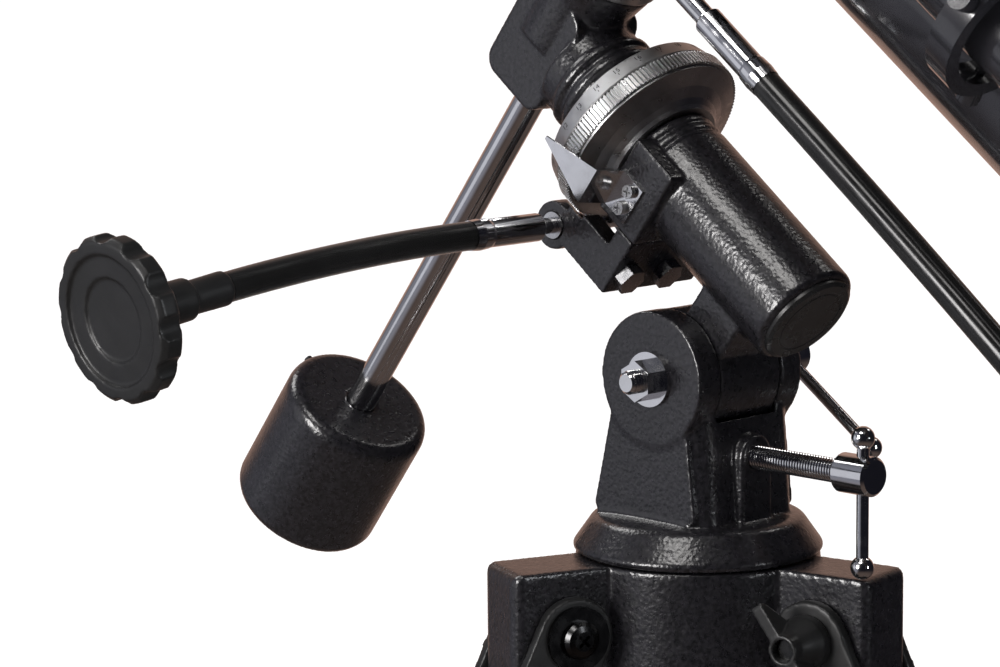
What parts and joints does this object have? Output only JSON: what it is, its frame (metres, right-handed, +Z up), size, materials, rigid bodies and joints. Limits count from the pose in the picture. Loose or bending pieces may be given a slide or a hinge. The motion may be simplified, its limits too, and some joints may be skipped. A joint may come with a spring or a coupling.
{
  "type": "telescope on tripod",
  "caption": "Refracting telescope on an equatorial mount with slow-motion controls and a counterweight, standing on an extending tripod.",
  "frame": {"origin": "on the azimuth axis at floor level, midway between the three feet", "axes": "+Z up along the azimuth axis, +Y towards the high end of the polar axis, +X along the latitude axis"},
  "size_m": [0.6826, 0.8307, 1.3377],
  "materials": {
    "casting_paint": "glossy black hammertone enamel",
    "plated_steel": "bright plated",
    "machined_wheel": "fine turned",
    "circle_scale": "satin, engraved scale",
    "black_plastic": "satin black moulding",
    "cable_sheath": "smooth black sheath",
    "leg_aluminium": "satin anodised",
    "foot_rubber": "satin anodised tube, black rubber boot",
    "steel_hardware": "zinc plated and sintered steel",
    "tube_paint": "gloss black enamel",
    "optical_glass": "coated lens",
    "black_anodised": "satin black",
    "drawtube_chrome": "bright plated tube"
  },
  "bodies": {
    "tripod": {"tripod_head": "casting_paint", "leg_bolts": "black_anodised", "spreader_hub": "black_plastic", "leg_1_bracket": "black_plastic", "leg_1_upper": "leg_aluminium", "leg_1_brace": "leg_aluminium", "leg_2_bracket": "black_plastic", "leg_2_upper": "leg_aluminium", "leg_2_brace": "leg_aluminium", "leg_3_bracket": "black_plastic", "leg_3_upper": "leg_aluminium", "leg_3_brace": "leg_aluminium"},
    "azimuth_bolt": {"azimuth_bolt": "black_plastic"},
    "azimuth": {"azimuth_base": "casting_paint", "pivot_nut": "plated_steel"},
    "lock_bolt": {"lock_bolt": "plated_steel"},
    "lock_bar": {"lock_bar": "plated_steel"},
    "tilt_pad": {"tilt_pad": "steel_hardware"},
    "tilt_screw": {"tilt_screw": "plated_steel"},
    "tilt_bar": {"tilt_bar": "plated_steel"},
    "polar": {"polar_housing": "casting_paint", "worm_bracket": "casting_paint", "polar_hardware": "steel_hardware", "ra_pointer": "plated_steel", "ra_cable": "cable_sheath"},
    "ra_worm": {"ra_worm": "plated_steel"},
    "ra_knob": {"ra_knob": "black_plastic"},
    "ra_wheel": {"ra_wheel": "machined_wheel"},
    "ra_circle": {"ra_circle": "circle_scale"},
    "cross": {"ra_dec_housing": "casting_paint", "axles": "steel_hardware", "counterweight_shaft": "plated_steel"},
    "counterweight": {"counterweight": "casting_paint"},
    "weight_screw": {"weight_screw": "black_anodised"},
    "dec_wheel": {"dec_wheel": "machined_wheel"},
    "dec_circle": {"dec_circle": "circle_scale"},
    "tube": {"saddle": "casting_paint", "dec_cable": "cable_sheath", "ring_lowers": "casting_paint", "main_tube": "tube_paint", "dew_shield": "tube_paint", "objective": "optical_glass", "focuser": "black_anodised", "finder": "tube_paint"},
    "dec_worm": {"dec_worm": "plated_steel"},
    "dec_knob": {"dec_knob": "black_plastic"},
    "ring_uppers": {"ring_uppers": "casting_paint"},
    "drawtube": {"drawtube": "drawtube_chrome"},
    "focus_knobs": {"focus_knobs": "black_plastic"},
    "diagonal": {"diagonal": "black_anodised"},
    "eyepiece": {"eyepiece": "black_anodised"},
    "leg_1_foot": {"leg_1_lower": "foot_rubber"},
    "leg_1_clamp": {"leg_1_clamp_knob": "black_plastic"},
    "leg_1_nut": {"leg_1_wing_nut": "black_plastic"},
    "leg_2_foot": {"leg_2_lower": "foot_rubber"},
    "leg_2_clamp": {"leg_2_clamp_knob": "black_plastic"},
    "leg_2_nut": {"leg_2_wing_nut": "black_plastic"},
    "leg_3_foot": {"leg_3_lower": "foot_rubber"},
    "leg_3_clamp": {"leg_3_clamp_knob": "black_plastic"},
    "leg_3_nut": {"leg_3_wing_nut": "black_plastic"}
  },
  "joints": [
    {"name": "azimuth_turn", "type": "hinge", "parent": "tripod", "child": "azimuth", "pos_m": [0, 0, 0.712], "axis": [0, 0, 1], "continuous": true},
    {"name": "azimuth_bolt_turn", "type": "hinge", "parent": "tripod", "child": "azimuth_bolt", "pos_m": [0, 0, 0.66], "axis": [0, 0, 1], "range_deg": [-360, 0]},
    {"name": "leg_1_extend", "type": "slide", "parent": "tripod", "child": "leg_1_foot", "axis": [-0.3971, 0.1445, -0.9063], "range_m": [-0.12, 0.08]},
    {"name": "leg_1_clamp_turn", "type": "hinge", "parent": "tripod", "child": "leg_1_clamp", "pos_m": [-0.24382, 0.08874, 0.2571], "axis": [-0.8517, 0.31, 0.4226], "range_deg": [0, 180]},
    {"name": "leg_1_nut_turn", "type": "hinge", "parent": "tripod", "child": "leg_1_nut", "pos_m": [-0.05478, 0.01994, 0.6885], "axis": [0.342, 0.9397, 0], "range_deg": [0, 180]},
    {"name": "leg_2_extend", "type": "slide", "parent": "tripod", "child": "leg_2_foot", "axis": [0.0734, -0.4162, -0.9063], "range_m": [-0.12, 0.08]},
    {"name": "leg_2_clamp_turn", "type": "hinge", "parent": "tripod", "child": "leg_2_clamp", "pos_m": [0.04506, -0.25552, 0.2571], "axis": [0.1574, -0.8925, 0.4226], "range_deg": [0, 180]},
    {"name": "leg_2_nut_turn", "type": "hinge", "parent": "tripod", "child": "leg_2_nut", "pos_m": [0.01012, -0.05741, 0.6885], "axis": [-0.9848, -0.1736, 0], "range_deg": [0, 180]},
    {"name": "leg_3_extend", "type": "slide", "parent": "tripod", "child": "leg_3_foot", "axis": [0.3237, 0.2717, -0.9063], "range_m": [-0.12, 0.08]},
    {"name": "leg_3_clamp_turn", "type": "hinge", "parent": "tripod", "child": "leg_3_clamp", "pos_m": [0.19876, 0.16678, 0.2571], "axis": [0.6943, 0.5826, 0.4226], "range_deg": [0, 180]},
    {"name": "leg_3_nut_turn", "type": "hinge", "parent": "tripod", "child": "leg_3_nut", "pos_m": [0.04466, 0.03748, 0.6885], "axis": [0.6428, -0.766, 0], "range_deg": [0, 180]},
    {"name": "latitude_tilt", "type": "hinge", "parent": "azimuth", "child": "polar", "pos_m": [0, -0.002, 0.7785], "axis": [1, 0, 0], "range_deg": [-18.8, 20.8]},
    {"name": "tilt_screw_advance", "type": "slide", "parent": "azimuth", "child": "tilt_pad", "axis": [0, 1, 0], "range_m": [-0.0098, 0.01084]},
    {"name": "tilt_screw_turn", "type": "hinge", "parent": "tilt_pad", "child": "tilt_screw", "pos_m": [0, -0.05, 0.7497], "axis": [0, 1, 0], "range_deg": [-2836, 3135]},
    {"name": "tilt_bar_slide", "type": "slide", "parent": "tilt_screw", "child": "tilt_bar", "axis": [0, 0, 1], "range_m": [0, 0.02]},
    {"name": "lock_turn", "type": "hinge", "parent": "azimuth", "child": "lock_bolt", "pos_m": [0.044, -0.002, 0.7785], "axis": [1, 0, 0], "range_deg": [0, 90]},
    {"name": "lock_bar_slide", "type": "slide", "parent": "lock_bolt", "child": "lock_bar", "axis": [0, -0.8131, -0.5821], "range_m": [-0.035, 0]},
    {"name": "ra_slow_motion", "type": "hinge", "parent": "polar", "child": "ra_wheel", "pos_m": [0, 0.02425, 0.86214], "axis": [0, 0.7902, 0.6129], "range_deg": [-10, 10]},
    {"name": "ra_worm_turn", "type": "hinge", "parent": "polar", "child": "ra_worm", "pos_m": [-0.04, 0.05014, 0.82957], "axis": [-1, 0, 0], "range_deg": [-1440, 1440]},
    {"name": "ra_axis", "type": "hinge", "parent": "ra_wheel", "child": "cross", "pos_m": [0, 0.04637, 0.8793], "axis": [0, 0.7902, 0.6129], "range_deg": [-70, 90]},
    {"name": "ra_circle_turn", "type": "hinge", "parent": "ra_wheel", "child": "ra_circle", "pos_m": [0, 0.03057, 0.86704], "axis": [0, 0.7902, 0.6129], "continuous": true},
    {"name": "dec_axis", "type": "hinge", "parent": "cross", "child": "dec_wheel", "pos_m": [0, 0.03706, 0.93536], "axis": [0, -0.6129, 0.7902], "continuous": true},
    {"name": "dec_circle_turn", "type": "hinge", "parent": "dec_wheel", "child": "dec_circle", "pos_m": [0, 0.04441, 0.92587], "axis": [0, -0.6129, 0.7902], "continuous": true},
    {"name": "dec_slow_motion", "type": "hinge", "parent": "dec_wheel", "child": "tube", "pos_m": [0, 0.01867, 0.95906], "axis": [0, -0.6129, 0.7902], "continuous": true},
    {"name": "dec_worm_turn", "type": "hinge", "parent": "tube", "child": "dec_worm", "pos_m": [-0.0262, -0.02753, 0.9093], "axis": [0, -0.7902, -0.6129], "continuous": true},
    {"name": "counterweight_slide", "type": "slide", "parent": "cross", "child": "counterweight", "axis": [0, 0.6129, -0.7902], "range_m": [-0.15, 0]},
    {"name": "weight_screw_turn", "type": "hinge", "parent": "counterweight", "child": "weight_screw", "pos_m": [0, 0.21636, 0.75804], "axis": [0, 0.7902, 0.6129], "range_deg": [-180, 0]},
    {"name": "drawtube_slide", "type": "slide", "parent": "tube", "child": "drawtube", "axis": [0, -0.7902, -0.6129], "range_m": [-0.004, 0.06]},
    {"name": "focus_turn", "type": "hinge", "parent": "tube", "child": "focus_knobs", "pos_m": [0, -0.30952, 0.75891], "axis": [1, 0, 0], "continuous": true},
    {"name": "diagonal_turn", "type": "hinge", "parent": "drawtube", "child": "diagonal", "pos_m": [0, -0.37435, 0.74785], "axis": [0, 0.7902, 0.6129], "range_deg": [-90, 90]},
    {"name": "eyepiece_slide", "type": "slide", "parent": "diagonal", "child": "eyepiece", "axis": [0, -0.6129, 0.7902], "range_m": [0, 0.027]},
    {"name": "ring_open", "type": "hinge", "parent": "tube", "child": "ring_uppers", "pos_m": [0.0645, -0.02668, 1.01753], "axis": [0, 0.7902, 0.6129], "range_deg": [0, 60]},
    {"name": "ra_knob_turn", "type": "hinge", "parent": "polar", "child": "ra_knob", "pos_m": [-0.18002, 0.05014, 0.82265], "axis": [-0.9925, 0, -0.1219], "range_deg": [-1440, 1440]},
    {"name": "dec_knob_turn", "type": "hinge", "parent": "tube", "child": "dec_knob", "pos_m": [-0.0262, -0.20383, 0.7673], "axis": [0, -0.7627, -0.6468], "continuous": true}
  ],
  "couplings": [
    {"joint": "tilt_screw_advance", "follows": "latitude_tilt", "m_per_rad": 0.0298},
    {"joint": "tilt_screw_turn", "follows": "latitude_tilt", "ratio": 149.79},
    {"joint": "ra_worm_turn", "follows": "ra_slow_motion", "ratio": 144},
    {"joint": "dec_worm_turn", "follows": "dec_slow_motion", "ratio": 84},
    {"joint": "ra_knob_turn", "follows": "ra_slow_motion", "ratio": 144},
    {"joint": "dec_knob_turn", "follows": "dec_slow_motion", "ratio": 84},
    {"joint": "focus_turn", "follows": "drawtube_slide", "rad_per_m": -222.22}
  ]
}
